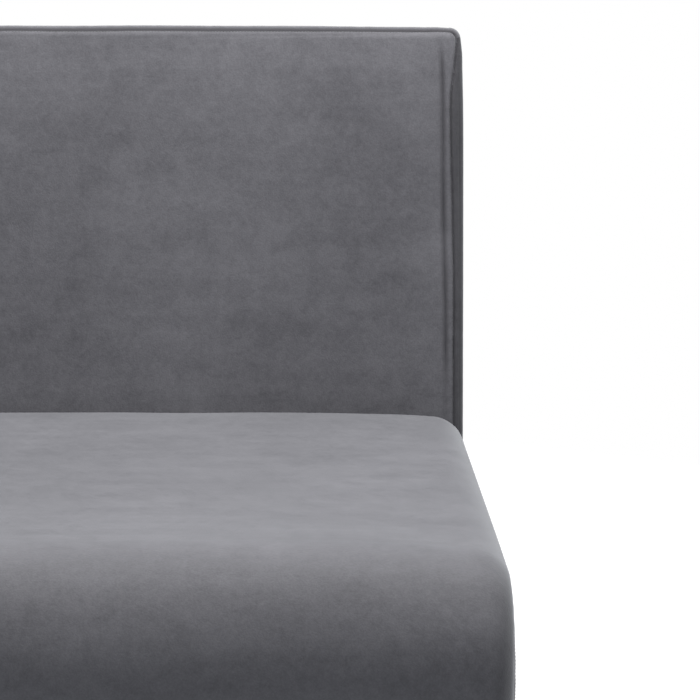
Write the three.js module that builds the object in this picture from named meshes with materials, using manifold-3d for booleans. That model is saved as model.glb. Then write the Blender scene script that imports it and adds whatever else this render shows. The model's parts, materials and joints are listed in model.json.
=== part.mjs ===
// A daybed in millimetres, +X along its length, +Y to the back, +Z up. The origin is on the floor,
// under the middle of the overall box.
//
// It comes apart as a person would take it apart: a loose bullnose mattress lifts off a slatted
// beech frame on six legs, and a padded back panel lifts off two steel tongues on the rear rail.
import * as THREE from "three";
import { mergeVertices } from "three/addons/utils/BufferGeometryUtils.js";
import Module from "manifold-3d";

const wasm = await Module();
wasm.setup();

// ---------------------------------------------------------------- driving dimensions

const gap = 0.3; // between pieces that are glued, screwed or pressed together
const coverThickness = 2; // velvet with its backing

const mattress = {
  length: 1994,
  depth: 800,
  thickness: 220, // its front is a full half-round
  backRadius: 40, // the rear top and bottom edges, in side view
  endRadius: 35, // the edge where the long wrap panel meets an end panel
  topLayer: 95, // the softer foam over the firm base foam
};

const zip = { fromFront: 120, fromRear: 40, height: 6.4, aboveBottom: 42 };
const zipSlider = { length: 14, height: 10, thickness: 2.6 };

const rail = { thickness: 25, height: 85, edgeRadius: 4, frontInset: 70, endInset: 12 };
const slat = {
  count: 13,
  width: 80,
  thickness: 8,
  camber: 9.5,
  edgeRadius: 1.5,
  endPlay: 1,
  sidePlay: 10,
};
const ledger = { width: 22, height: 22, edgeRadius: 1.5 };
const crossRail = { width: 45 };
const cornerBlock = { leg: 75 };

const leg = { fromOuterFaces: 45, topRadius: 25, bottomRadius: 16, edge: 2 };
const stud = { radius: 4, length: 38 }; // the hanger bolt that stands out of each leg's top
const pad = { radius: 15, thickness: 4 };
const foot = { radius: 17, thickness: 6, stemRadius: 5, stemLength: 30, boreSpare: 12 };
const boreClearance = 0.3; // radial, around a foot's stem
const studClearance = 0.6; // radial, around a leg's stud

const heights = {
  railBottom: 132,
  ledgerUnderRailTop: 15,
  mattressOverSlats: 0.5,
};

const back = {
  pastMattressEnds: 3,
  thickness: 80,
  height: 660, // along the panel
  reclineDegrees: 5,
  behindMattress: 3,
  overRail: 1, // between the dust strip and the rear rail
  edgeRadius: 12,
  board: 3,
  rearWadding: 6,
  slack: 0.5, // between the rear wadding and the cover
  edgeWadding: 8, // over the top rail and the end stiles
  hem: 14, // the cover's hem, turned under the bottom rail
  overHem: 2, // between the hem and the bottom rail
};
const timber = { width: 45, thickness: 40 };
const dustStrip = { thickness: 1, margin: 6 };

const tongue = { width: 40, thickness: 8, insideBack: 165, belowBend: 70, fromBackEnd: 380 };
const socket = { wall: 2, clearance: 0.5, pastTongue: 13 };
const bendBelowBack = 6; // the tongue's bend, under the panel
const bolt = { radius: 4, headRadius: 7, headHeight: 4.4, washerRadius: 9, washer: 1.6, shank: 30 };
const boltHoleClearance = 0.5;
const boltHeights = [18, 52]; // above the bracket's foot

// ---------------------------------------------------------------- dimensions that follow

const noseRadius = mattress.thickness / 2;
const zipLength = mattress.depth - zip.fromFront - zip.fromRear;

const railTop = heights.railBottom + rail.height;
const ledgerTop = railTop - heights.ledgerUnderRailTop;
const crossRailHeight = ledgerTop - ledger.height - gap - heights.railBottom;
const slatSeat = ledgerTop + gap;
const mattressBottom = slatSeat + slat.thickness + slat.camber + heights.mattressOverSlats;

const recline = THREE.MathUtils.degToRad(back.reclineDegrees);
const backLength = mattress.length + 2 * back.pastMattressEnds;
const backFront = mattress.depth + back.behindMattress;

// Layers of the back panel, from its front face. The front foam takes what the others leave.
const waddingFront = back.thickness - coverThickness - back.slack - back.rearWadding;
const timberFront = waddingFront - gap - timber.thickness;
const boardFront = timberFront - gap - back.board;
const foamFront = coverThickness + gap;
const timberEnd = backLength / 2 - coverThickness - back.edgeWadding - 2 * gap;
const timberBottom = coverThickness + back.overHem;
const timberTop = back.height - coverThickness - back.edgeWadding - 2 * gap;
const socketLength = tongue.insideBack + socket.pastTongue;
const socketOuterWidth = tongue.width + 2 * (socket.clearance + socket.wall);
const socketOuterThickness = tongue.thickness + 2 * (socket.clearance + socket.wall);

// The tongue runs up the middle of the timbers, so the bracket's upright part, and with it the
// rear rail, stands where that line comes down to the bend.
const tongueX = backLength / 2 - tongue.fromBackEnd;
const tongueLine = timberFront + timber.thickness / 2;
const stripDepth = gap + dustStrip.thickness;
const backBottom = railTop + back.overRail + stripDepth + tongueLine * Math.sin(recline);
const bendHeight = backBottom - tongueLine * Math.sin(recline) - bendBelowBack;
const bracketMiddle =
  backFront + tongueLine * Math.cos(recline) - bendBelowBack * Math.tan(recline);
const bracketFoot = bendHeight - tongue.belowBend;

const frontRailOuter = rail.frontInset;
const frontRailInner = frontRailOuter + rail.thickness;
const rearRailOuter = bracketMiddle - tongue.thickness / 2 - gap;
const rearRailInner = rearRailOuter - rail.thickness;
const innerDepth = rearRailInner - frontRailInner;
const railEnd = mattress.length / 2 - rail.endInset;
const endRailInner = railEnd - rail.thickness;

const legTop = heights.railBottom;
const legX = railEnd - leg.fromOuterFaces;
const legFrontY = frontRailOuter + leg.fromOuterFaces;
const legRearY = rearRailOuter - leg.fromOuterFaces;

// The rearmost point is on the rounded top edge of the back.
const overallDepth =
  backFront +
  (back.thickness - back.edgeRadius) * Math.cos(recline) +
  (back.height - back.edgeRadius) * Math.sin(recline) +
  back.edgeRadius;

// ---------------------------------------------------------------- materials

const material = (color, roughness, metalness = 0) =>
  new THREE.MeshStandardMaterial({ color, roughness, metalness });

const velvet = material(0x77777b, 0.85);
const beech = material(0x4a2f1e, 0.5);
const rawWood = material(0xd2b48c, 0.7);
const slatWood = material(0xdcc197, 0.6);
const hardboard = material(0x7d5a3a, 0.8);
const firmFoam = material(0xe6e2d3, 0.95);
const softFoam = material(0xf3efe0, 0.95);
const wadding = material(0xf5f5f2, 1);
const felt = material(0x3a3632, 1);
const blackSteel = material(0x1b1c1e, 0.45, 0.9);
const zincSteel = material(0xb9bcc0, 0.35, 1);
const blackPlastic = material(0x1d1d1f, 0.5);
const zipNylon = material(0x4c4c50, 0.6);
const dustCloth = material(0x26262a, 0.95);

// ---------------------------------------------------------------- geometry helpers

const endEdgeShare = 0.8; // of a block's edge radius, at the two ends of its length

// Shape x, y and the extrusion run along world Y, Z and X.
const sideViewToWorld = new THREE.Matrix4().makeBasis(
  new THREE.Vector3(0, 1, 0),
  new THREE.Vector3(0, 0, 1),
  new THREE.Vector3(1, 0, 0),
);

// Shape x, y and the extrusion run along world X, Z and -Y.
const frontViewToWorld = new THREE.Matrix4().makeBasis(
  new THREE.Vector3(1, 0, 0),
  new THREE.Vector3(0, 0, 1),
  new THREE.Vector3(0, -1, 0),
);

// A solid between -length / 2 and length / 2, with its two end edges rounded inside the outline.
function extrude(shape, length, edge = 0, edgeSegments = 3, curveSegments = 8) {
  const geometry = new THREE.ExtrudeGeometry(shape, {
    depth: length - 2 * edge,
    curveSegments,
    bevelEnabled: edge > 0,
    bevelThickness: edge,
    bevelSize: edge,
    bevelOffset: -edge,
    bevelSegments: edgeSegments,
  });
  return geometry.translate(0, 0, edge - length / 2);
}

function rectangle(width, height, radius = 0) {
  const [x, y] = [width / 2, height / 2];
  const shape = new THREE.Shape();
  if (radius === 0) {
    shape.moveTo(-x, -y).lineTo(x, -y).lineTo(x, y).lineTo(-x, y).closePath();
    return shape;
  }
  const quarter = Math.PI / 2;
  shape.absarc(x - radius, -y + radius, radius, -quarter, 0);
  shape.absarc(x - radius, y - radius, radius, 0, quarter);
  shape.absarc(-x + radius, y - radius, radius, quarter, 2 * quarter);
  shape.absarc(-x + radius, -y + radius, radius, 2 * quarter, 3 * quarter);
  return shape.closePath();
}

function roundHole(x, y, radius, segments = 16) {
  const points = Array.from({ length: segments }, (_, i) => {
    const angle = (2 * Math.PI * i) / segments;
    return new THREE.Vector2(x + radius * Math.cos(angle), y + radius * Math.sin(angle));
  });
  return new THREE.Path(points);
}

// A block with all its edges rounded, centred on the origin. Its end edges are rounded a little
// less, so that each end keeps a rounded outline.
function roundedBlock(width, depth, height, radius, segments = 2) {
  const outline = rectangle(depth, height, radius);
  const edge = endEdgeShare * radius;
  return extrude(outline, width, edge, segments, segments).applyMatrix4(sideViewToWorld);
}

function block(x0, x1, y0, y1, z0, z1) {
  return new THREE.BoxGeometry(x1 - x0, y1 - y0, z1 - z0).translate(
    (x0 + x1) / 2,
    (y0 + y1) / 2,
    (z0 + z1) / 2,
  );
}

// Revolves [radius, height] points about the Z axis.
function turned(points, segments = 24) {
  const profile = points.map(([radius, height]) => new THREE.Vector2(radius, height));
  return new THREE.LatheGeometry(profile, segments).rotateX(Math.PI / 2);
}

function solidOf(geometry) {
  const bare = geometry.clone();
  bare.deleteAttribute("normal");
  bare.deleteAttribute("uv");
  const merged = mergeVertices(bare, 1e-3);
  return new wasm.Manifold(
    new wasm.Mesh({
      numProp: 3,
      vertProperties: merged.attributes.position.array,
      triVerts: new Uint32Array(merged.index.array),
    }),
  );
}

function geometryOf(solid) {
  const { vertProperties, triVerts } = solid.getMesh();
  const geometry = new THREE.BufferGeometry();
  geometry.setAttribute("position", new THREE.BufferAttribute(vertProperties, 3));
  geometry.setIndex(new THREE.BufferAttribute(triVerts, 1));
  geometry.computeVertexNormals();
  return geometry;
}

function cut(geometry, ...tools) {
  return geometryOf(tools.reduce((left, tool) => left.subtract(solidOf(tool)), solidOf(geometry)));
}

function common(geometry, other) {
  return geometryOf(solidOf(geometry).intersect(solidOf(other)));
}

// ---------------------------------------------------------------- the assembly

const daybed = new THREE.Group();
const shifted = new THREE.Group(); // y = 0 is the mattress's front inside this group
shifted.position.y = -overallDepth / 2;
daybed.add(shifted);

function place(parent, name, geometry, surface, x = 0, y = 0, z = 0) {
  const mesh = new THREE.Mesh(geometry, surface);
  mesh.name = name;
  mesh.position.set(x, y, z);
  parent.add(mesh);
  return mesh;
}

const sides = [
  ["left", -1],
  ["right", 1],
];

// ---------------------------------------------------------------- slatted frame

function railBlock(length, holes = []) {
  const outline = rectangle(length, rail.height, rail.edgeRadius);
  outline.holes.push(...holes);
  const edge = endEdgeShare * rail.edgeRadius;
  return extrude(outline, rail.thickness, edge, 2, 1).applyMatrix4(frontViewToWorld);
}

function addRails() {
  const middle = heights.railBottom + rail.height / 2;
  const boltHoles = sides.flatMap(([, side]) =>
    boltHeights.map((height) =>
      roundHole(side * tongueX, bracketFoot + height - middle, bolt.radius + boltHoleClearance),
    ),
  );
  const frontY = frontRailOuter + rail.thickness / 2;
  const rearY = rearRailOuter - rail.thickness / 2;
  place(shifted, "front_rail", railBlock(2 * railEnd), beech, 0, frontY, middle);
  place(shifted, "rear_rail", railBlock(2 * railEnd, boltHoles), beech, 0, rearY, middle);
  for (const [name, side] of sides) {
    const x = side * (railEnd - rail.thickness / 2);
    const endRail = railBlock(innerDepth - 2 * gap).rotateZ(Math.PI / 2);
    place(shifted, `${name}_end_rail`, endRail, beech, x, (frontRailInner + rearRailInner) / 2, middle);
  }
}

// A strip along each long rail, on which the slats' ends lie.
function addLedgers() {
  const { width, height, edgeRadius } = ledger;
  const strip = () => roundedBlock(2 * (endRailInner - gap), width, height, edgeRadius, 1);
  const fromRail = gap + width / 2;
  const z = ledgerTop - height / 2;
  place(shifted, "front_slat_ledger", strip(), rawWood, 0, frontRailInner + fromRail, z);
  place(shifted, "rear_slat_ledger", strip(), rawWood, 0, rearRailInner - fromRail, z);
}

// The rail under the middle slat takes the studs of the two centre legs.
function addCrossRail() {
  const middleY = (frontRailInner + rearRailInner) / 2;
  const outline = rectangle(crossRail.width, innerDepth - 2 * gap);
  for (const y of [legFrontY, legRearY]) {
    outline.holes.push(roundHole(0, y - middleY, stud.radius + studClearance));
  }
  const z = heights.railBottom + crossRailHeight / 2;
  place(shifted, "centre_cross_rail", extrude(outline, crossRailHeight), rawWood, 0, middleY, z);
}

// A glued triangle in each corner of the frame takes a corner leg's stud.
function addCornerBlocks() {
  const fromInner = leg.fromOuterFaces - rail.thickness;
  for (const [name, side] of sides) {
    for (const [end, cornerY, inward] of [
      ["front", frontRailInner, 1],
      ["rear", rearRailInner, -1],
    ]) {
      const outline = new THREE.Shape();
      outline.moveTo(-side * gap, inward * gap);
      outline.lineTo(-side * cornerBlock.leg, inward * gap);
      outline.lineTo(-side * gap, inward * cornerBlock.leg);
      outline.closePath();
      const hole = roundHole(-side * fromInner, inward * fromInner, stud.radius + studClearance);
      outline.holes.push(hole);
      const z = heights.railBottom + crossRailHeight / 2;
      const x = side * endRailInner;
      const prism = extrude(outline, crossRailHeight);
      place(shifted, `corner_block_${end}_${name}`, prism, rawWood, x, cornerY, z);
    }
  }
}

// A bent beech lamella: two arcs about one centre, low at its ends and high in the middle.
function slatGeometry() {
  const half = innerDepth / 2 - slat.endPlay;
  const radius = (half * half + slat.camber * slat.camber) / (2 * slat.camber);
  const sweep = Math.asin(half / radius);
  const centre = slat.camber - radius;
  const up = Math.PI / 2;
  const outline = new THREE.Shape();
  outline.absarc(0, centre, radius, up + sweep, up - sweep, true);
  outline.absarc(0, centre, radius + slat.thickness, up - sweep, up + sweep, false);
  outline.closePath();
  return extrude(outline, slat.width, slat.edgeRadius, 1, 5).applyMatrix4(sideViewToWorld);
}

function addSlats() {
  const first = -endRailInner + slat.sidePlay + slat.width / 2;
  const pitch = (-2 * first) / (slat.count - 1);
  const y = (frontRailInner + rearRailInner) / 2;
  for (let i = 0; i < slat.count; i++) {
    const name = `slat_${String(i + 1).padStart(2, "0")}`;
    place(shifted, name, slatGeometry(), slatWood, first + i * pitch, y, slatSeat);
  }
}

// ---------------------------------------------------------------- legs and feet

// A tapered leg with its hanger bolt, standing on a pad, or on a foot whose stem it is bored for.
function legGeometry(bottom, bore) {
  const { topRadius, bottomRadius, edge } = leg;
  const start = bore
    ? [
        [0, bottom + foot.stemLength + foot.boreSpare],
        [foot.stemRadius + boreClearance, bottom + foot.stemLength + foot.boreSpare],
        [foot.stemRadius + boreClearance, bottom],
      ]
    : [[0, bottom]];
  return turned([
    ...start,
    [bottomRadius - edge, bottom],
    [bottomRadius, bottom + edge],
    [topRadius, legTop - edge],
    [topRadius - edge, legTop],
    [stud.radius, legTop],
    [stud.radius, legTop + stud.length],
    [0, legTop + stud.length],
  ]);
}

function addLegs() {
  for (const [end, y] of [
    ["front", legFrontY],
    ["rear", legRearY],
  ]) {
    for (const [name, side] of sides) {
      place(shifted, `leg_${end}_${name}`, legGeometry(pad.thickness, false), beech, side * legX, y);
      const disc = turned([
        [0, 0],
        [pad.radius, 0],
        [pad.radius, pad.thickness],
        [0, pad.thickness],
      ]);
      place(shifted, `felt_pad_${end}_${name}`, disc, felt, side * legX, y);
    }
    place(shifted, `leg_${end}_centre`, legGeometry(foot.thickness, true), beech, 0, y);
    const levellingFoot = turned([
      [0, 0],
      [foot.radius - 1, 0],
      [foot.radius, 1],
      [foot.radius, foot.thickness - 2],
      [foot.radius - 2, foot.thickness],
      [foot.stemRadius, foot.thickness],
      [foot.stemRadius, foot.thickness + foot.stemLength],
      [0, foot.thickness + foot.stemLength],
    ]);
    place(shifted, `levelling_foot_${end}`, levellingFoot, blackPlastic, 0, y);
  }
}

// ---------------------------------------------------------------- brackets on the rear rail

// A flat bar, upright on the rail and leaning with the panel above its bend.
function bracketGeometry() {
  const half = tongue.thickness / 2;
  const reach = tongue.insideBack + bendBelowBack;
  const mitre = half * Math.tan(recline / 2);
  const [s, c] = [Math.sin(recline), Math.cos(recline)];
  const outline = new THREE.Shape();
  outline.moveTo(-half, bracketFoot).lineTo(half, bracketFoot).lineTo(half, bendHeight - mitre);
  outline.lineTo(half * c + reach * s, bendHeight - half * s + reach * c);
  outline.lineTo(-half * c + reach * s, bendHeight + half * s + reach * c);
  outline.lineTo(-half, bendHeight + mitre).closePath();
  const bar = extrude(outline, tongue.width).applyMatrix4(sideViewToWorld);
  const drill = new THREE.CylinderGeometry(
    bolt.radius + boltHoleClearance,
    bolt.radius + boltHoleClearance,
    4 * tongue.thickness,
    24,
  );
  return cut(bar, ...boltHeights.map((z) => drill.clone().translate(0, 0, bracketFoot + z)));
}

function boltGeometry() {
  const { radius, headRadius, headHeight, washerRadius, washer, shank } = bolt;
  const points = [
    [0, -shank],
    [radius, -shank],
    [radius, 0],
    [washerRadius, 0],
    [washerRadius, washer],
    [headRadius, washer],
    [headRadius, washer + headHeight / 2],
    [headRadius - 2.5, washer + headHeight],
    [0, washer + headHeight],
  ];
  return turned(points, 18).rotateX(-Math.PI / 2);
}

function addBrackets() {
  const rearFace = bracketMiddle + tongue.thickness / 2 + gap;
  for (const [name, side] of sides) {
    const x = side * tongueX;
    place(shifted, `back_bracket_${name}`, bracketGeometry(), blackSteel, x, bracketMiddle);
    boltHeights.forEach((height, i) => {
      const where = i === 0 ? "lower" : "upper";
      const z = bracketFoot + height;
      place(shifted, `bracket_bolt_${where}_${name}`, boltGeometry(), zincSteel, x, rearFace, z);
    });
  }
}

// ---------------------------------------------------------------- mattress

// The mattress's outer form taken in by inset on every side. Its lowest point is at z = inset.
function mattressBody(inset) {
  const { length, depth, thickness, backRadius, endRadius } = mattress;
  const nose = noseRadius - inset;
  const rear = backRadius - inset;
  const [front, end] = [inset, depth - inset];
  const [bottom, top] = [inset, thickness - inset];
  const quarter = Math.PI / 2;
  const outline = new THREE.Shape();
  outline.absarc(front + nose, bottom + nose, nose, 2 * quarter, 3 * quarter);
  outline.absarc(end - rear, bottom + rear, rear, -quarter, 0);
  outline.absarc(end - rear, top - rear, rear, 0, quarter);
  outline.absarc(front + nose, top - nose, nose, quarter, 2 * quarter);
  outline.closePath();
  return extrude(outline, length - 2 * inset, endRadius - inset, 4, 6).applyMatrix4(sideViewToWorld);
}

function addMattress() {
  const foamInset = coverThickness + gap;
  const layerLine = mattress.thickness - mattress.topLayer;
  const [w, d] = [mattress.length, mattress.depth];
  const below = block(-w, w, -d, 2 * d, -d, layerLine - gap / 2);
  const above = block(-w, w, -d, 2 * d, layerLine + gap / 2, d);
  const z = mattressBottom;
  place(shifted, "mattress_base_foam", common(mattressBody(foamInset), below), firmFoam, 0, 0, z);
  place(shifted, "mattress_top_foam", common(mattressBody(foamInset), above), softFoam, 0, 0, z);

  // The cover is open only along its zip, low on the left end panel.
  const endFace = -mattress.length / 2;
  const zipMiddle = zip.fromFront + zipLength / 2;
  const slit = block(
    endFace - 1,
    endFace + 2 * coverThickness,
    zip.fromFront,
    zip.fromFront + zipLength,
    zip.aboveBottom - zip.height / 2,
    zip.aboveBottom + zip.height / 2,
  );
  place(shifted, "mattress_cover", cut(mattressBody(0), mattressBody(coverThickness), slit), velvet, 0, 0, z);

  const tape = roundedBlock(coverThickness, zipLength - 2 * gap, zip.height - 2 * gap, 0.5, 1);
  const tapeX = endFace + coverThickness / 2;
  place(shifted, "mattress_zip", tape, zipNylon, tapeX, zipMiddle, z + zip.aboveBottom);

  const slider = roundedBlock(zipSlider.thickness, zipSlider.length, zipSlider.height, 0.8, 2);
  const sliderX = endFace - gap / 2 - zipSlider.thickness / 2;
  const sliderY = zip.fromFront + zipLength - zipSlider.length;
  place(shifted, "zip_slider", slider, zincSteel, sliderX, sliderY, z + zip.aboveBottom);
}

// ---------------------------------------------------------------- back panel

const backGroup = new THREE.Group(); // y = 0 is the panel's front face, z = 0 its bottom
backGroup.position.set(0, backFront, backBottom);
backGroup.rotation.x = -recline;
shifted.add(backGroup);

function timberBlock(x0, x1, z0, z1) {
  return block(x0, x1, timberFront, timberFront + timber.thickness, z0, z1);
}

// A ladder of timbers: the stiles stand between the two long rails.
function addBackTimbers() {
  const stileBottom = timberBottom + timber.width + gap;
  const stileTop = timberTop - timber.width - gap;
  const slot = (side) =>
    block(
      side * tongueX - socketOuterWidth / 2 - gap,
      side * tongueX + socketOuterWidth / 2 + gap,
      tongueLine - socketOuterThickness / 2 - gap,
      tongueLine + socketOuterThickness / 2 + gap,
      -timber.width,
      2 * timber.width,
    );
  const bottomRail = timberBlock(-timberEnd, timberEnd, timberBottom, timberBottom + timber.width);
  place(backGroup, "back_bottom_rail", cut(bottomRail, slot(-1), slot(1)), rawWood);
  const topRail = timberBlock(-timberEnd, timberEnd, timberTop - timber.width, timberTop);
  place(backGroup, "back_top_rail", topRail, rawWood);
  for (const [name, side] of sides) {
    const outer = side * timberEnd;
    const inner = side * (timberEnd - timber.width);
    const endStile = timberBlock(Math.min(outer, inner), Math.max(outer, inner), stileBottom, stileTop);
    place(backGroup, `back_end_stile_${name}`, endStile, rawWood);
    const near = side * (tongueX + socketOuterWidth / 2 + gap);
    const far = near + side * timber.width;
    const midStile = timberBlock(Math.min(near, far), Math.max(near, far), stileBottom, stileTop);
    place(backGroup, `back_mid_stile_${name}`, midStile, rawWood);
  }
}

// A rectangular steel tube for each tongue, screwed to the side of a mid stile.
function addSockets() {
  const walls = rectangle(socketOuterWidth, socketOuterThickness);
  const inside = rectangle(tongue.width + 2 * socket.clearance, tongue.thickness + 2 * socket.clearance);
  walls.holes.push(inside);
  for (const [name, side] of sides) {
    const z = timberBottom + socketLength / 2;
    const tube = extrude(walls, socketLength);
    place(backGroup, `back_socket_${name}`, tube, zincSteel, side * tongueX, tongueLine, z);
  }
}

// Hardboard over the timbers, foam over the board, the top and the ends, and wadding behind.
function addBackPadding() {
  const board = block(
    -timberEnd,
    timberEnd,
    boardFront,
    boardFront + back.board,
    timberBottom,
    timberTop,
  );
  place(backGroup, "back_front_board", board, hardboard);

  const foamEnd = backLength / 2 - foamFront;
  const foamRear = waddingFront - gap;
  const foamTop = back.height - foamFront;
  const foamBlock = roundedBlock(
    2 * foamEnd,
    foamRear - foamFront,
    foamTop - timberBottom,
    back.edgeRadius - foamFront,
    2,
  ).translate(0, (foamFront + foamRear) / 2, (timberBottom + foamTop) / 2);
  const hollow = block(
    -timberEnd - gap,
    timberEnd + gap,
    boardFront - gap,
    foamRear + back.thickness,
    -back.height,
    timberTop + gap,
  );
  place(backGroup, "back_foam", cut(foamBlock, hollow), softFoam);

  const waddingEnd = foamEnd - back.edgeRadius;
  const sheet = block(
    -waddingEnd,
    waddingEnd,
    waddingFront,
    waddingFront + back.rearWadding,
    back.edgeRadius,
    foamTop - back.edgeRadius,
  );
  place(backGroup, "back_rear_wadding", sheet, wadding);
}

// The velvet cover is pulled on from above, and its hem is turned under the bottom rail.
function addBackCover() {
  const { thickness, height, edgeRadius, hem } = back;
  const outer = roundedBlock(backLength, thickness, height, edgeRadius, 3);
  const inner = roundedBlock(
    backLength - 2 * coverThickness,
    thickness - 2 * coverThickness,
    height - 2 * coverThickness,
    edgeRadius - coverThickness,
    3,
  );
  const mouth = block(
    -backLength / 2 + hem,
    backLength / 2 - hem,
    -thickness / 2 + hem,
    thickness / 2 - hem,
    -height,
    -height / 2 + 2 * coverThickness,
  );
  place(backGroup, "back_cover", cut(outer, inner, mouth), velvet, 0, thickness / 2, height / 2);

  const strip = block(
    -backLength / 2 + dustStrip.margin,
    backLength / 2 - dustStrip.margin,
    dustStrip.margin,
    thickness - dustStrip.margin,
    -stripDepth,
    -gap,
  );
  const slots = sides.map(([, side]) =>
    block(
      side * tongueX - socketOuterWidth / 2,
      side * tongueX + socketOuterWidth / 2,
      tongueLine - socketOuterThickness / 2,
      tongueLine + socketOuterThickness / 2,
      -thickness,
      thickness,
    ),
  );
  place(backGroup, "back_dust_strip", cut(strip, ...slots), dustCloth);
}

addRails();
addLedgers();
addCrossRail();
addCornerBlocks();
addSlats();
addLegs();
addBrackets();
addMattress();
addBackTimbers();
addSockets();
addBackPadding();
addBackCover();

export default daybed;
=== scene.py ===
import json
import math

import bmesh
import bpy
import numpy as np
from mathutils import Matrix, Vector
from mathutils.kdtree import KDTree


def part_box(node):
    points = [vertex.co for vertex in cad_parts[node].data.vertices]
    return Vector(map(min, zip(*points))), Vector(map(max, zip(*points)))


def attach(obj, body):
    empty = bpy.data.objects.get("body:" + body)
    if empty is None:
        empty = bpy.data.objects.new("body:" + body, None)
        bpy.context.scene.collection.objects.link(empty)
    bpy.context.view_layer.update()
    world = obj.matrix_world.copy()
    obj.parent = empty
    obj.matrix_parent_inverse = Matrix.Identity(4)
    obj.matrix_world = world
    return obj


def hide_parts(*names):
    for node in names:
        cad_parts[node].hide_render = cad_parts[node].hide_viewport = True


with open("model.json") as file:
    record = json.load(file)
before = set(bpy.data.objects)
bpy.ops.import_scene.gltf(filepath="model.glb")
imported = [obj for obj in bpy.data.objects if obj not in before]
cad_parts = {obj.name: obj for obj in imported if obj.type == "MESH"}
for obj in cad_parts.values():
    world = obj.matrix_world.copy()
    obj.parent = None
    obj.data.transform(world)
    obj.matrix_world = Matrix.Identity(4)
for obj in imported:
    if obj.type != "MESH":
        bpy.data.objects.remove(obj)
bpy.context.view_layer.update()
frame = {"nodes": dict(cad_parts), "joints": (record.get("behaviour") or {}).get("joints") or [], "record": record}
NODES = frame["nodes"]
SLOT_OF = {s["node"]: s["material_slot"] for s in frame["record"]["subparts"]}
BODY_OF = {n: b for b, names in frame["record"]["behaviour"]["bodies"].items() for n in names}

# ------------------------ camera, floor and light

CAMERA_X = 0.754
CAMERA_FROM_REAR_EDGE = 3.618  # of the mattress, level
CAMERA_HEIGHT = 1.140
CAMERA_YAW, CAMERA_PITCH, CAMERA_ROLL = 0.0307, 0.1712, 0.0023  # right, down, clockwise; radians
CAMERA_LENS = 162.2  # mm, on a 36 mm sensor
FLOOR_RADIUS, FLOOR_SIDES = 2.6, 128
FILL_COLOUR = (0.93, 0.96, 1.0)
FILL_BY_SIDE = (1.0, 0.1)  # straight ahead and from the sides, which are darker, as between dark flats
FILL_BY_HEIGHT = (1.5, 0.62)  # from below, as off a pale floor, and from above


def add_camera():
    right = Vector((math.cos(CAMERA_YAW), -math.sin(CAMERA_YAW), 0))
    level = Vector((math.sin(CAMERA_YAW), math.cos(CAMERA_YAW), 0))
    forward = level * math.cos(CAMERA_PITCH) - Vector((0, 0, math.sin(CAMERA_PITCH)))
    up = right.cross(forward)
    turn = Matrix((right, up, -forward)).transposed() @ Matrix.Rotation(CAMERA_ROLL, 3, "Z")
    data = bpy.data.cameras.new("camera")
    data.lens = CAMERA_LENS
    data.clip_end = 100
    camera = bpy.data.objects.new("camera", data)
    camera.matrix_world = turn.to_4x4()
    rear_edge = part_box("mattress_cover")[1].y
    camera.location = (CAMERA_X, rear_edge - CAMERA_FROM_REAR_EDGE, CAMERA_HEIGHT)
    bpy.context.scene.collection.objects.link(camera)
    bpy.context.scene.camera = camera


def add_area_light(name, place, target, width, height, power, colour):
    data = bpy.data.lights.new(name, "AREA")
    data.shape = "RECTANGLE"
    data.size, data.size_y = width, height
    data.energy = power
    data.color = colour
    light = bpy.data.objects.new(name, data)
    light.location = place
    light.rotation_euler = (Vector(target) - Vector(place)).to_track_quat("-Z", "Y").to_euler()
    bpy.context.scene.collection.objects.link(light)


def add_stage():
    """A round pale floor under two soft lights and a dim world that the camera sees as white."""
    rim = [2 * math.pi * i / FLOOR_SIDES for i in range(FLOOR_SIDES)]
    corners = [(FLOOR_RADIUS * math.cos(a), FLOOR_RADIUS * math.sin(a), 0) for a in rim]
    floor = new_object("floor", corners, [range(FLOOR_SIDES)], make_floor_paint(), weld=0)
    floor.visible_diffuse = False  # the world lights the object from below instead

    tree = Tree(bpy.data.worlds.new("studio"))
    bpy.context.scene.world = tree.owner
    direction = tree.add("SeparateXYZ", Vector=tree.add("TexCoord").outputs["Generated"])
    from_side = tree.spread(tree.math("ABSOLUTE", direction.outputs["X"]), 0, 1, *FILL_BY_SIDE)
    from_height = tree.spread(direction.outputs["Z"], -1, 1, *FILL_BY_HEIGHT)
    fill = tree.background(FILL_COLOUR, tree.math("MULTIPLY", from_side, from_height))
    white = tree.background((1, 1, 1), 1)
    either = tree.add("MixShader")
    camera_ray = tree.add("LightPath").outputs["Is Camera Ray"]
    for socket, value in zip(either.inputs, (camera_ray, fill, white)):
        tree.put(socket, value)
    tree.finish(either.outputs[0], "OutputWorld")

    add_area_light(
        "overhead", place=(0.75, -0.09, 2.3), target=(0.75, -0.05, 0),
        width=3.0, height=0.85, power=91, colour=(1, 0.99, 0.98),
    )
    add_area_light(
        "rear", place=(-0.3, 2.0, 2.3), target=(-0.3, 1.8, 0),
        width=2.6, height=1.2, power=28, colour=(0.99, 0.99, 1),
    )
    bpy.context.scene.view_settings.view_transform = "Standard"


# ------------------------ materials

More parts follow.
